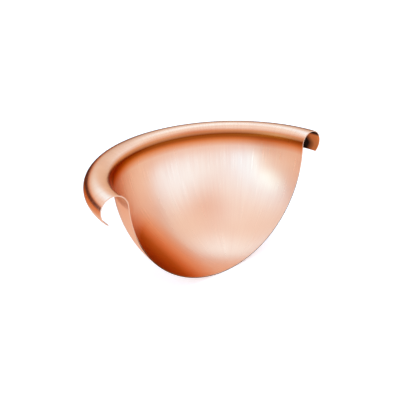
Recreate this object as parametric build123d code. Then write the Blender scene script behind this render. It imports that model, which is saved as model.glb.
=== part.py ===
from build123d import *
import os

# Ball-shaped end cap for a half-round roof gutter, pressed from one copper sheet.
#
# The cap is a quarter sphere: half of a round bowl, cut on the plane where the gutter ends.
# Above the bowl the wall stands upright for a short band, and then its level rim is rolled
# outward and down into a bead, like the bead on the gutter's own edge. Bowl, band and bead
# are one sheet. The bead stops short of the wall, so it is open below, and it is open at both
# ends, where the gutter's bead slips in.
#
# Frame, in millimetres: the origin is the centre of the bowl, which is the centre of the
# gutter's half circle, on the plane of the cut edge. X runs across the gutter, +Y runs along
# the gutter and away from it to the closed end of the cap, and +Z is up.

# Driving dimensions
cap_width = 152.4        # outside the wall, across the cut edge: a 6 inch gutter
sheet_thickness = 0.7    # copper sheet of 20 ounces to the square foot
upright_band = 1.5       # height of straight wall between the bowl and the bead
bead_width = 19.4        # outside the rolled bead, a nominal 3/4 inch
bead_wrap = 235.0        # degrees of turn, from the wall over the top to the free edge
cap_sweep = 180.0        # degrees about the upright axis: half of a round bowl

# The bowl and the bead are pairs of arcs, one sheet apart. The side of the sheet that faces
# into the bowl turns over the rim and becomes the outside of the bead.
wall_outside = cap_width / 2
wall_inside = wall_outside - sheet_thickness
bead_outside = bead_width / 2
bead_inside = bead_outside - sheet_thickness
bead_centre = (wall_inside + bead_outside, upright_band)
free_edge_angle = 180 - bead_wrap


def sheet_section():
    """The section through the sheet, from the bottom of the bowl to the bead's free edge."""
    bowl_inside = CenterArc((0, 0), wall_inside, -90, 90)
    band_inside = Line((wall_inside, 0), (wall_inside, upright_band))
    bead_top = CenterArc(bead_centre, bead_outside, 180, -bead_wrap)
    bead_hollow = CenterArc(bead_centre, bead_inside, free_edge_angle, bead_wrap)
    band_outside = Line((wall_outside, upright_band), (wall_outside, 0))
    bowl_outside = CenterArc((0, 0), wall_outside, 0, -90)
    free_edge = Line(bead_top @ 1, bead_hollow @ 0)
    bottom = Line(bowl_outside @ 1, bowl_inside @ 0)
    side_in = [bowl_inside, band_inside, bead_top]
    side_out = [bead_hollow, band_outside, bowl_outside]
    return Plane.XZ * make_face([*side_in, free_edge, *side_out, bottom])


def end_cap():
    """The sheet section turned about the upright axis through half a circle."""
    return revolve(sheet_section(), Axis.Z, cap_sweep)


os.makedirs("parts", exist_ok=True)
cap = end_cap()
export_step(cap, "parts/end_cap.step")

size = cap.bounding_box().size
print(f"end_cap: {size.X:.1f} x {size.Y:.1f} x {size.Z:.1f} mm, {cap.volume:.0f} mm3 of sheet")
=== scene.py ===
import math

import bmesh
import bpy
from mathutils import Matrix, Vector


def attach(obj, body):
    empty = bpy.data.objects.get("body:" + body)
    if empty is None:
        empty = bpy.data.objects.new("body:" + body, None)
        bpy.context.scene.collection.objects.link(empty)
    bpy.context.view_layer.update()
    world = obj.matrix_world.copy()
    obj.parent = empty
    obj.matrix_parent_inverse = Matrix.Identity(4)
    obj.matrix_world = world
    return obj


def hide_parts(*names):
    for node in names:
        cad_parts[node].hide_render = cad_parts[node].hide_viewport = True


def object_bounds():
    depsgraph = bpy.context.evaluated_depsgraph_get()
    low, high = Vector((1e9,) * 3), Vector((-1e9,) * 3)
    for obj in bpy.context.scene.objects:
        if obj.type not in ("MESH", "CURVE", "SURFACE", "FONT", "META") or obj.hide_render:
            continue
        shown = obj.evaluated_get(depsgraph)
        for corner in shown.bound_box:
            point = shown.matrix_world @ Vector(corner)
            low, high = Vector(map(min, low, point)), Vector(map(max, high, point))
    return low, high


bl_info = {
    "name": "Gutter End Cap",
    "version": (1, 0, 0),
    "blender": (4, 5, 0),
    "location": "View3D > Sidebar > End Cap",
    "description": "Builds a ball-shaped copper end cap for a half-round gutter, with its studio",
    "category": "Add Mesh",
}

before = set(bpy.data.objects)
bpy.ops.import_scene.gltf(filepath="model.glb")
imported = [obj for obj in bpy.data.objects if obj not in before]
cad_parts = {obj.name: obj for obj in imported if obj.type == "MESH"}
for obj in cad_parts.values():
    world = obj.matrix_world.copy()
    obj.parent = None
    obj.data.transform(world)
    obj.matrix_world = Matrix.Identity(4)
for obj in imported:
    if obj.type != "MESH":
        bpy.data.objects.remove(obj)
CAD_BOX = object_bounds()
MM = 0.001

# The frame's box gives the outer sizes: the bowl reaches its bottom, and the bead its sides.
SHEET = 0.7 * MM
WIDTH = -2 * CAD_BOX[0][2]
BEAD = CAD_BOX[1][0] - WIDTH / 2 + SHEET


# Helpers for colours, nodes and directions


def linear(code):
    """Linear red, green and blue of an sRGB hex colour."""
    parts = [int(code[i : i + 2], 16) / 255 for i in (1, 3, 5)]
    return tuple(c / 12.92 if c <= 0.04045 else ((c + 0.055) / 1.055) ** 2.4 for c in parts)


def add_node(tree, kind, settings=None, **inputs):
    """Adds a shader node with its settings and links.

    An input goes by its name, or by its number as i0, i1 and so on. It is a number, a colour, a
    vector or another node's socket.
    """
    node = tree.nodes.new("ShaderNode" + kind)
    for name, value in (settings or {}).items():
        setattr(node, name, value)
    for name, value in inputs.items():
        key = int(name[1:]) if name[0] == "i" and name[1:].isdigit() else name.replace("_", " ")
        socket = node.inputs[key]
        if isinstance(value, bpy.types.NodeSocket):
            tree.links.new(value, socket)
        elif isinstance(value, (tuple, list)) and socket.type == "RGBA" and len(value) == 3:
            socket.default_value = (*value, 1.0)
        else:
            socket.default_value = value
    return node


def new_material(name):
    """An empty node material and its tree."""
    material = bpy.data.materials.new(name)
    material.use_nodes = True
    material.node_tree.nodes.clear()
    return material, material.node_tree


def bearing(azimuth, elevation):
    """The direction out from the cap. Azimuth 0 is the open side, and 90 is its right."""
    a, e = math.radians(azimuth), math.radians(elevation)
    return Vector((math.sin(a) * math.cos(e), -math.cos(a) * math.cos(e), math.sin(e)))


# Sizes and colours that a user would change


class EndCapSizes(bpy.types.PropertyGroup):
    width: bpy.props.FloatProperty(
        name="Width",
        description="Across the wall at the cut edge, outside",
        default=WIDTH,
        min=60 * MM,
        unit="LENGTH",
    )
    thickness: bpy.props.FloatProperty(
        name="Sheet",
        description="Thickness of the copper sheet",
        default=SHEET,
        min=0.3 * MM,
        unit="LENGTH",
    )
    band: bpy.props.FloatProperty(
        name="Upright band",
        description="Height of straight wall between the bowl and the bead",
        default=1.5 * MM,
        min=0.1 * MM,
        unit="LENGTH",
    )
    bead: bpy.props.FloatProperty(
        name="Bead",
        description="Width of the rolled bead, outside",
        default=BEAD,
        min=5 * MM,
        unit="LENGTH",
    )
    wrap: bpy.props.FloatProperty(
        name="Bead wrap",
        description="Turn of the sheet from the wall over the top to the free edge",
        default=math.radians(235),
        min=math.radians(90),
        max=math.radians(320),
        unit="ROTATION",
    )
    edge: bpy.props.FloatProperty(
        name="Broken edge",
        description="Chamfer that deburring leaves along the cut edges",
        default=0.1 * MM,
        min=0.0,
        max=0.3 * MM,
        unit="LENGTH",
    )


class EndCapColours(bpy.types.PropertyGroup):
    copper: bpy.props.FloatVectorProperty(
        name="Copper",
        description="Bright polished copper",
        subtype="COLOR",
        default=linear("#fcd6ba"),
        min=0.0,
        max=1.0,
    )
    bloom: bpy.props.FloatVectorProperty(
        name="Bloom",
        description="Copper where the first thin oxide has dulled it",
        subtype="COLOR",
        default=linear("#f8ccb1"),
        min=0.0,
        max=1.0,
    )
    glance: bpy.props.FloatVectorProperty(
        name="Bowl, glancing",
        description="Tint of the bowl's reflections at a glancing angle",
        subtype="COLOR",
        default=linear("#e4b080"),
        min=0.0,
        max=1.0,
    )
    # Painted shade: this dark tint darkens the bead's glancing reflections and so draws the dark outline
    # along its top.
    bead_glance_shade: bpy.props.FloatVectorProperty(
        name="Bead, glancing",
        description="The same for the bead, which handling has browned",
        subtype="COLOR",
        default=linear("#6e3c20"),
        min=0.0,
        max=1.0,
    )
    # The bead's left end keeps this pale tint, where the painted dark one fades out.
    glance_end: bpy.props.FloatVectorProperty(
        name="Left end of the bead, glancing",
        description="The same for the bead's left end, which was wiped clean",
        subtype="COLOR",
        default=linear("#d8b090"),
        min=0.0,
        max=1.0,
    )
    glance_back: bpy.props.FloatVectorProperty(
        name="Outer face, glancing",
        description="The same for the outer face of the wall",
        subtype="COLOR",
        default=linear("#fff0e4"),
        min=0.0,
        max=1.0,
    )
    # Painted reflection: this matt orange stands in for the deep orange of the bare copper reflecting
    # itself inside the roll.
    painted_lining: bpy.props.FloatVectorProperty(
        name="Inside of the roll",
        description="Matt orange oxide inside the rolled bead",
        subtype="COLOR",
        default=linear("#ec8444"),
        min=0.0,
        max=1.0,
    )
    # Painted shade along the top of the roll's inside and deep in it.
    roll_shade: bpy.props.FloatVectorProperty(
        name="Roll shade",
        description="Soot along the top of the roll's inside and deep in it",
        subtype="COLOR",
        default=linear("#1e0c05"),
        min=0.0,
        max=1.0,
    )
    # Partly raw copper and partly a painted highlight: near white for the bright line of the cut edges.
    edge: bpy.props.FloatVectorProperty(
        name="Sheared edge",
        description="Raw copper on the cut edges",
        subtype="COLOR",
        default=linear("#ffe2cc"),
        min=0.0,
        max=1.0,
    )
    # Painted shade: the cut edges darken to this lower down.
    edge_shade: bpy.props.FloatVectorProperty(
        name="Dark lower edge",
        description="Cut edge darkened by handling",
        subtype="COLOR",
        default=linear("#3c2010"),
        min=0.0,
        max=1.0,
    )
    floor: bpy.props.FloatVectorProperty(
        name="Floor",
        description="The studio's pale floor",
        subtype="COLOR",
        default=linear("#f4f5f6"),
        min=0.0,
        max=1.0,
    )


# Painted shade, as the share of the copper's colour that is left: a dark band along the neck
# under the bead, at heights above the rim in mm, and a darker patch low in the bowl, at
# distances in mm from the patch's middle.
NECK_SHADE = (
    (-6, "#ffffff"),
    (-2, "#f4cca8"),
    (0, "#e09c60"),
    (2, "#b06828"),
    (4, "#90420a"),
    (6.5, "#e0a478"),
    (8.5, "#ffffff"),
)
PATCH_SHADE = (
    (8, "#b97c4a"),
    (22, "#c48a56"),
    (30, "#d0925a"),
    (38, "#eeb486"),
    (46, "#fcdcc0"),
    (58, "#ffffff"),
)
PATCH_MIDDLE_MM = (-59, 10, -46)

# The room is white and its floor side is warm, in linear light.
ROOM = (0.96, 0.95, 0.99)
FLOOR_SIDE = (0.91, 0.72, 0.65)

# Soft blue windows stand round the cap, and dim walls take light away: azimuth, elevation and
# reach in degrees, strength and colour.
WINDOWS = (
    (-95, 0, 35, 2.5, "#a8fcff"),
    (-90, -10, 75, 1.9, "#48bcff"),
    (25, 10, 110, 0.9, "#58c4ff"),
    (175, 40, 30, 1.3, "#58c4ff"),
    (130, 70, 30, 1.1, "#70d0ff"),
    (105, 80, 30, -0.6, "#70d0ff"),
    (55, 45, 40, -0.7, "#58c4ff"),
    (0, 50, 35, -0.9, "#70d0ff"),
)

# Dark cloths hang along the horizon behind the cap: azimuth and reach in degrees, middle and
# half height as the sine of the elevation, and the light that is left.
CLOTHS = (
    (-170, 48, -0.08, 0.42, "#f09a50"),
    (-170, 40, -0.02, 0.2, "#5a2206"),
    (143, 45, -0.32, 0.26, "#3a1504"),
)


# Materials


def pressed_copper(colours, sizes):
    """Copper sheet, rolled, pressed and lightly polished.

    Polishing leaves soft reflections. Drawing over the tool leaves faint streaks that run from
    the rim down into the bowl. Painted shade darkens the neck under the bead, a patch low in the
    bowl, the bead's glancing reflections and the inside of the roll, where a painted orange also
    stands in for the copper's reflection of itself.
    """
    material, tree = new_material("pressed_polished_copper_sheet")
    place = add_node(tree, "TexCoord").outputs["Object"]
    x, y, z = add_node(tree, "SeparateXYZ", i0=place).outputs
    flat = add_node(tree, "VectorMath", {"operation": "MULTIPLY"}, i0=place, i1=(1, 1, 0)).outputs[0]
    reach = add_node(tree, "VectorMath", {"operation": "LENGTH"}, i0=flat).outputs["Value"]
    radius = add_node(tree, "VectorMath", {"operation": "LENGTH"}, i0=place).outputs["Value"]
    turn = add_node(tree, "Math", {"operation": "ARCTAN2"}, i0=y, i1=x).outputs[0]

    # Streaks: 1.2 mm apart round the cap and about 30 mm long down the wall.
    per_turn = sizes.width / 2 / (1.2 * MM)
    unrolled = add_node(tree, "CombineXYZ", i0=turn, i1=z, i2=reach).outputs[0]
    flow = add_node(
        tree, "VectorMath", {"operation": "MULTIPLY"}, i0=unrolled, i1=(per_turn, 1 / (30 * MM), 1)
    ).outputs[0]
    streaks = add_node(tree, "TexNoise", Vector=flow, Scale=1.0, Detail=3.0).outputs[0]

    # Clouds of the first oxide, about 35 mm across and streaked, tint the copper.
    clouds = add_node(tree, "TexNoise", Vector=place, Scale=1 / (35 * MM), Detail=2.0).outputs[0]
    dulled = add_node(tree, "Math", {"operation": "ADD"}, i0=clouds, i1=streaks).outputs[0]
    tint = add_node(
        tree,
        "Mix",
        {"data_type": "RGBA"},
        i0=add_node(tree, "MapRange", Value=dulled, i1=0.7, i2=1.3).outputs[0],
        i6=tuple(colours.copper),
        i7=tuple(colours.bloom),
    ).outputs[2]

    # The three faces of the sheet: inside the roll, the outer face of the wall, and the rest.
    half_sheet = sizes.thickness / 2
    bead_at = (sizes.width / 2 - sizes.thickness + sizes.bead / 2, sizes.band, 0)
    across = add_node(tree, "CombineXYZ", i0=reach, i1=z).outputs[0]
    away = add_node(tree, "VectorMath", {"operation": "DISTANCE"}, i0=across, i1=bead_at).outputs["Value"]
    hollow = add_node(
        tree, "Math", {"operation": "LESS_THAN"}, i0=away, i1=sizes.bead / 2 - half_sheet
    ).outputs[0]
    far = add_node(
        tree, "Math", {"operation": "GREATER_THAN"}, i0=radius, i1=sizes.width / 2 - half_sheet
    ).outputs[0]
    low = add_node(tree, "Math", {"operation": "LESS_THAN"}, i0=z, i1=sizes.band / 2).outputs[0]
    outer = add_node(tree, "Math", {"operation": "MULTIPLY"}, i0=far, i1=low).outputs[0]
    either = add_node(tree, "Math", {"operation": "MAXIMUM"}, i0=hollow, i1=outer).outputs[0]
    inner = add_node(tree, "Math", {"operation": "SUBTRACT"}, i0=1.0, i1=either).outputs[0]

    # Inside the roll painted shade darkens the top and the deep part, and spares the painted orange in a
    # band at the side.
    spared = add_node(tree, "MapRange", Value=z, i1=-2 * MM, i2=3 * MM, i3=0.0, i4=5 * MM).outputs[0]
    depth = add_node(tree, "Math", {"operation": "SUBTRACT"}, i0=y, i1=spared).outputs[0]
    deep = add_node(tree, "MapRange", Value=depth, i1=3.5 * MM, i2=9.5 * MM).outputs[0]
    high = add_node(tree, "MapRange", Value=z, i1=4.5 * MM, i2=6.5 * MM).outputs[0]
    roll_shade_share = add_node(tree, "Math", {"operation": "MAXIMUM"}, i0=deep, i1=high).outputs[0]
    lining = add_node(
        tree,
        "Mix",
        {"data_type": "RGBA"},
        i0=roll_shade_share,
        i6=tuple(colours.painted_lining),
        i7=tuple(colours.roll_shade),
    ).outputs[2]

    # That painted orange and shade stop at the wall and fade out towards the left end.
    off_wall = add_node(tree, "MapRange", Value=reach, i1=83 * MM, i2=86 * MM).outputs[0]
    past_left_end = add_node(tree, "MapRange", Value=x, i1=-70 * MM, i2=-30 * MM).outputs[0]
    painted_lining = add_node(tree, "Math", {"operation": "MULTIPLY"}, i0=hollow, i1=off_wall).outputs[0]
    painted_lining = add_node(tree, "Math", {"operation": "MULTIPLY"}, i0=painted_lining, i1=past_left_end).outputs[0]
    tint = add_node(tree, "Mix", {"data_type": "RGBA"}, i0=painted_lining, i6=tint, i7=lining).outputs[2]

    # Painted shade: the dark band along the neck ends below the bead and fades at its left end,
    # and a darker patch lies low in the bowl.
    below_bead = add_node(tree, "MapRange", Value=reach, i1=84 * MM, i2=81 * MM).outputs[0]
    short_of_left_end = add_node(
        tree, "MapRange", Value=turn, i1=math.radians(178), i2=math.radians(152)
    ).outputs[0]
    neck = add_node(tree, "Math", {"operation": "MULTIPLY"}, i0=inner, i1=below_bead).outputs[0]
    neck = add_node(tree, "Math", {"operation": "MULTIPLY"}, i0=neck, i1=short_of_left_end).outputs[0]
    bottom = add_node(tree, "MapRange", Value=z, i1=-32 * MM, i2=-44 * MM).outputs[0]
    patch_share = add_node(tree, "Math", {"operation": "MULTIPLY"}, i0=inner, i1=bottom).outputs[0]
    patch_middle = tuple(v * MM for v in PATCH_MIDDLE_MM)
    from_patch_middle = add_node(
        tree, "VectorMath", {"operation": "DISTANCE"}, i0=place, i1=patch_middle
    ).outputs["Value"]
    for length, stops, share in ((z, NECK_SHADE, neck), (from_patch_middle, PATCH_SHADE, patch_share)):
        first, last = stops[0][0], stops[-1][0]
        spot = add_node(tree, "MapRange", Value=length, i1=first * MM, i2=last * MM).outputs[0]
        painted_shade = add_node(tree, "ValToRGB", Fac=spot)
        elements = painted_shade.color_ramp.elements
        while len(elements) < len(stops):
            elements.new(0.5)
        for element, (at, code) in zip(elements, stops):
            element.position = (at - first) / (last - first)
            element.color = (*linear(code), 1.0)
        tint = add_node(
            tree,
            "Mix",
            {"data_type": "RGBA", "blend_type": "MULTIPLY"},
            i0=share,
            i6=tint,
            i7=painted_shade.outputs[0],
        ).outputs[2]

    # The bead is burnished smoother than the drawn bowl, and the roll's inside is rough and
    # hardly metallic under its painted orange.
    drawn = add_node(tree, "MapRange", Value=streaks, i1=0.3, i2=0.7, i3=0.27, i4=0.32).outputs[0]
    burnished = add_node(tree, "MapRange", Value=z, i1=3 * MM, i2=7 * MM, i3=0.0, i4=0.1).outputs[0]
    rough = add_node(tree, "Math", {"operation": "SUBTRACT"}, i0=drawn, i1=burnished).outputs[0]
    rough = add_node(
        tree, "Math", {"operation": "MULTIPLY_ADD"}, i0=hollow, i1=0.25, i2=rough
    ).outputs[0]
    bare = add_node(tree, "Math", {"operation": "MULTIPLY_ADD"}, i0=painted_lining, i1=-0.85, i2=1.0).outputs[0]

    # Thin oxide tints the reflections at a glancing angle. On the bead a dark tint is painted shade,
    # which draws the dark outline along its top and fades out towards the bead's left end.
    on_bead = add_node(tree, "MapRange", Value=z, i1=3 * MM, i2=7 * MM).outputs[0]
    bead_glance = add_node(
        tree,
        "Mix",
        {"data_type": "RGBA"},
        i0=past_left_end,
        i6=tuple(colours.glance_end),
        i7=tuple(colours.bead_glance_shade),
    ).outputs[2]
    glance = add_node(
        tree, "Mix", {"data_type": "RGBA"}, i0=on_bead, i6=tuple(colours.glance), i7=bead_glance
    ).outputs[2]
    glance = add_node(
        tree, "Mix", {"data_type": "RGBA"}, i0=outer, i6=glance, i7=tuple(colours.glance_back)
    ).outputs[2]

    # The streaks can just be felt, and fade out below the rim.
    felt = add_node(tree, "MapRange", Value=z, i1=-4 * MM, i2=1 * MM, i3=0.015, i4=0.0).outputs[0]
    bump = add_node(tree, "Bump", Strength=felt, Distance=0.02 * MM, Height=streaks).outputs[0]
    shader = add_node(
        tree,
        "BsdfPrincipled",
        Base_Color=tint,
        Metallic=bare,
        Roughness=rough,
        Specular_Tint=glance,
        Normal=bump,
    )
    add_node(tree, "OutputMaterial", Surface=shader.outputs[0])
    return material


def sheared_copper(colours):
    """Copper where the sheet was sheared and deburred: raw copper made near white above, a painted
    highlight on the cut edges, and made dark lower down, which is painted shade.
    """
    material, tree = new_material("sheared_copper_edge")
    place = add_node(tree, "TexCoord").outputs["Object"]
    z = add_node(tree, "SeparateXYZ", i0=place).outputs[2]
    low = add_node(tree, "MapRange", Value=z, i1=-15 * MM, i2=-30 * MM).outputs[0]
    tint = add_node(
        tree,
        "Mix",
        {"data_type": "RGBA"},
        i0=low,
        i6=tuple(colours.edge),
        i7=tuple(colours.edge_shade),
    ).outputs[2]

    # The grain of the tear is finer than this, and is drawn 0.4 mm coarse to show.
    grain = add_node(tree, "TexNoise", Vector=place, Scale=1 / (0.4 * MM), Detail=2.0).outputs[0]
    rough = add_node(tree, "MapRange", Value=grain, i1=0.3, i2=0.7, i3=0.3, i4=0.42).outputs[0]
    bump = add_node(tree, "Bump", Strength=0.3, Distance=0.02 * MM, Height=grain).outputs[0]
    shader = add_node(
        tree, "BsdfPrincipled", Base_Color=tint, Metallic=1.0, Roughness=rough, Normal=bump
    )
    add_node(tree, "OutputMaterial", Surface=shader.outputs[0])
    return material


def studio_floor(colours):
    """Matt white board under the cap, lit from below as well, so shadows stay faint."""
    material, tree = new_material("matt_white_board")
    place = add_node(tree, "TexCoord").outputs["Object"]

    # The board's tooth is drawn 3 mm coarse to show.
    tooth = add_node(tree, "TexNoise", Vector=place, Scale=1 / (3 * MM), Detail=1.0).outputs[0]
    rough = add_node(tree, "MapRange", Value=tooth, i3=0.85, i4=0.95).outputs[0]
    shader = add_node(
        tree,
        "BsdfPrincipled",
        Base_Color=tuple(colours.floor),
        Roughness=rough,
        Specular_IOR_Level=0.2,
        Emission_Color=(1.0, 1.0, 1.0),
        Emission_Strength=0.35,
    )
    add_node(tree, "OutputMaterial", Surface=shader.outputs[0])
    return material


# The sheet


def finished(bm, name, materials):
    """Writes a bmesh into a new object, which stands at the origin."""
    mesh = bpy.data.meshes.new(name)
    bm.to_mesh(mesh)
    bm.free()
    piece = bpy.data.objects.new(name, mesh)
    bpy.context.scene.collection.objects.link(piece)
    for material in materials:
        mesh.materials.append(material)
    return piece


def sheet_bmesh(sizes):
    """The sheet's section as a strip one sheet wide, turned through half a circle."""
    outside = sizes.width / 2
    inside = outside - sizes.thickness
    bead_at = Vector((inside + sizes.bead / 2, 0, sizes.band))
    up = Vector((0, 1, 0))

    # The bowl's quarter circle, from its bottom to the rim
    bm = bmesh.new()
    ends = [bm.verts.new((0, 0, -r)) for r in (inside, outside)]
    edge = bm.edges.new(ends)
    bowl = bmesh.ops.spin(
        bm, geom=[*ends, edge], cent=(0, 0, 0), axis=up, angle=-math.pi / 2, steps=64, use_duplicate=False
    )

    # The upright band, and the bead rolled on from its top
    rim = [g for g in bowl["geom_last"] if isinstance(g, bmesh.types.BMEdge)]
    band = bmesh.ops.extrude_edge_only(bm, edges=rim)["geom"]
    top = [g for g in band if isinstance(g, bmesh.types.BMVert)]
    bmesh.ops.translate(bm, verts=top, vec=(0, 0, sizes.band))
    line = [g for g in band if isinstance(g, bmesh.types.BMEdge) and all(v in top for v in g.verts)]
    bead = bmesh.ops.spin(
        bm, geom=[*top, *line], cent=bead_at, axis=up, angle=sizes.wrap, steps=60, use_duplicate=False
    )

    # The free edge is broken, like the cut ones: it narrows while it turns on about the bead.
    free = [g for g in bead["geom_last"] if isinstance(g, bmesh.types.BMEdge)]
    lip = bmesh.ops.extrude_edge_only(bm, edges=free)["geom"]
    tip = [g for g in lip if isinstance(g, bmesh.types.BMVert)]
    middle = (tip[0].co + tip[1].co) / 2
    narrow = 1 - 2 * sizes.edge / sizes.thickness
    bmesh.ops.scale(bm, verts=tip, vec=(narrow,) * 3, space=Matrix.Translation(-middle))
    step = Matrix.Rotation(2 * sizes.edge / sizes.bead, 3, up)
    bmesh.ops.rotate(bm, verts=tip, cent=bead_at, matrix=step)

    # Half a turn about the upright axis
    section = [*bm.verts, *bm.edges, *bm.faces]
    bmesh.ops.spin(
        bm, geom=section, cent=(0, 0, 0), axis=(0, 0, 1), angle=math.pi, steps=200, use_duplicate=False
    )
    bmesh.ops.remove_doubles(bm, verts=bm.verts, dist=0.001 * MM)
    bmesh.ops.dissolve_degenerate(bm, edges=bm.edges, dist=0.0005 * MM)
    bmesh.ops.recalc_face_normals(bm, faces=bm.faces)

    # The cut faces get their broken edge: an inset ring, whose outer line then steps back.
    cut = [f for f in bm.faces if all(abs(v.co.y) < 0.001 * MM for v in f.verts)]
    outline = {v for f in cut for v in f.verts}
    bmesh.ops.inset_region(bm, faces=cut, thickness=sizes.edge, use_even_offset=True)
    kept = {v for f in cut for v in f.verts}
    back = [v for v in outline if v.is_valid and v not in kept]
    bmesh.ops.translate(bm, verts=back, vec=(0, sizes.edge, 0))
    for f in bm.faces:
        f.smooth = True
    for f in cut:
        f.material_index = 1
    return bm


class ENDCAP_OT_sheet(bpy.types.Operator):
    """Build the pressed copper sheet: bowl, upright band and rolled bead"""

    bl_idname = "end_cap.sheet"
    bl_label = "End cap sheet"

    def execute(self, context):
        sizes = context.scene.end_cap_sizes
        colours = context.scene.end_cap_colours
        bm = sheet_bmesh(sizes)
        loose = [e for e in bm.edges if not e.is_manifold]
        if loose:
            raise RuntimeError(f"the sheet is not closed: {len(loose)} open edges")
        piece = finished(bm, "copper_end_cap", [pressed_copper(colours, sizes), sheared_copper(colours)])
        piece.data.set_sharp_from_angle(angle=math.radians(30))
        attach(piece, "root")
        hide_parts("end_cap")
        return {"FINISHED"}


# The stage


def room(world):
    """A white room with soft windows, seen in the copper. The camera itself sees plain white."""
    world.use_nodes = True
    tree = world.node_tree
    tree.nodes.clear()
    view = add_node(tree, "TexCoord").outputs["Generated"]
    light = ROOM
    for azimuth, elevation, reach, strength, code in WINDOWS:
        out = tuple(bearing(azimuth, elevation))
        aim = add_node(tree, "VectorMath", {"operation": "DOT_PRODUCT"}, i0=view, i1=out).outputs["Value"]
        angle = add_node(tree, "Math", {"operation": "ARCCOSINE"}, i0=aim).outputs[0]
        share = add_node(
            tree,
            "MapRange",
            {"interpolation_type": "SMOOTHSTEP"},
            Value=angle,
            i1=math.radians(reach),
            i2=0.0,
            i3=0.0,
            i4=1.0,
        ).outputs[0]
        colour = tuple(strength * c for c in linear(code))
        light = add_node(
            tree, "VectorMath", {"operation": "MULTIPLY_ADD"}, i0=share, i1=colour, i2=light
        ).outputs[0]

    z = add_node(tree, "SeparateXYZ", i0=view).outputs[2]
    below = add_node(tree, "MapRange", Value=z, i1=-0.05, i2=-0.14).outputs[0]
    light = add_node(tree, "Mix", {"data_type": "RGBA"}, i0=below, i6=light, i7=FLOOR_SIDE).outputs[2]

    for azimuth, reach, middle, height, code in CLOTHS:
        out = tuple(bearing(azimuth, 0))
        aim = add_node(tree, "VectorMath", {"operation": "DOT_PRODUCT"}, i0=view, i1=out).outputs["Value"]
        across = add_node(
            tree,
            "MapRange",
            {"interpolation_type": "SMOOTHSTEP"},
            Value=aim,
            i1=math.cos(math.radians(reach)),
            i2=math.cos(math.radians(reach * 0.5)),
        ).outputs[0]
        off = add_node(tree, "Math", {"operation": "SUBTRACT"}, i0=z, i1=middle).outputs[0]
        upward = add_node(
            tree,
            "MapRange",
            {"interpolation_type": "SMOOTHSTEP"},
            Value=add_node(tree, "Math", {"operation": "ABSOLUTE"}, i0=off).outputs[0],
            i1=height,
            i2=height * 0.4,
        ).outputs[0]
        share = add_node(tree, "Math", {"operation": "MULTIPLY"}, i0=across, i1=upward).outputs[0]
        light = add_node(
            tree, "Mix", {"data_type": "RGBA"}, i0=share, i6=light, i7=linear(code)
        ).outputs[2]

    sky = add_node(tree, "Background", Color=light, Strength=1.0).outputs[0]
    backdrop = add_node(tree, "Background", Color=(1.0, 1.0, 1.0), Strength=1.0).outputs[0]
    seen = add_node(tree, "LightPath").outputs["Is Camera Ray"]
    both = add_node(tree, "MixShader", i0=seen, i1=sky, i2=backdrop).outputs[0]
    add_node(tree, "OutputWorld", Surface=both)


def camera_place():
    """The camera stands to the left of the open side and looks down into the bowl, a little rolled."""
    distance, aim_right, aim_up = 353.3 * MM, -18.3 * MM, -16.2 * MM
    roll = math.radians(-2.6)
    back = bearing(-36.5, 25.6)
    level = Vector((-back.y, back.x, 0)).normalized()
    upright = back.cross(level)
    right = math.cos(roll) * level + math.sin(roll) * upright
    up = math.cos(roll) * upright - math.sin(roll) * level
    spot = level * aim_right + upright * aim_up + back * distance
    turned = Matrix((right, up, back)).transposed().to_4x4()
    return Matrix.Translation(spot) @ turned


class ENDCAP_OT_stage(bpy.types.Operator):
    """Set out the pale floor, the white room that lights the cap, and the camera"""

    bl_idname = "end_cap.stage"
    bl_label = "Studio"

    def execute(self, context):
        scene = context.scene
        sizes = scene.end_cap_sizes
        colours = scene.end_cap_colours

        bm = bmesh.new()
        bmesh.ops.create_circle(bm, cap_ends=True, segments=96, radius=9.0)
        bmesh.ops.translate(bm, verts=bm.verts, vec=(0, 0, -sizes.width / 2 - 0.05 * MM))
        floor = finished(bm, "floor", [studio_floor(colours)])
        floor.visible_glossy = False

        scene.world = bpy.data.worlds.new("soft_white_room")
        room(scene.world)

        camera = bpy.data.objects.new("camera", bpy.data.cameras.new("camera"))
        scene.collection.objects.link(camera)
        camera.data.sensor_width = 36
        camera.data.lens = 47
        camera.data.clip_start = 0.01
        camera.data.clip_end = 50
        camera.matrix_world = camera_place()
        scene.camera = camera

        scene.view_settings.view_transform = "Standard"
        scene.view_settings.look = "None"
        scene.view_settings.exposure = 0.0
        scene.view_settings.gamma = 1.0
        return {"FINISHED"}


# The panel and the run


class ENDCAP_PT_panel(bpy.types.Panel):
    bl_idname = "ENDCAP_PT_panel"
    bl_label = "End Cap"
    bl_space_type = "VIEW_3D"
    bl_region_type = "UI"
    bl_category = "End Cap"

    def draw(self, context):
        layout = self.layout
        for group in (context.scene.end_cap_sizes, context.scene.end_cap_colours):
            column = layout.column()
            for name in group.bl_rna.properties.keys():
                if name not in ("rna_type", "name"):
                    column.prop(group, name)
        layout.operator("end_cap.sheet")
        layout.operator("end_cap.stage")


CLASSES = (EndCapSizes, EndCapColours, ENDCAP_OT_sheet, ENDCAP_OT_stage, ENDCAP_PT_panel)


def register():
    for cls in CLASSES:
        bpy.utils.register_class(cls)
    bpy.types.Scene.end_cap_sizes = bpy.props.PointerProperty(type=EndCapSizes)
    bpy.types.Scene.end_cap_colours = bpy.props.PointerProperty(type=EndCapColours)


def unregister():
    del bpy.types.Scene.end_cap_colours
    del bpy.types.Scene.end_cap_sizes
    for cls in reversed(CLASSES):
        bpy.utils.unregister_class(cls)


def main():
    register()
    bpy.ops.end_cap.sheet()
    bpy.ops.end_cap.stage()


if __name__ == "__main__":
    main()
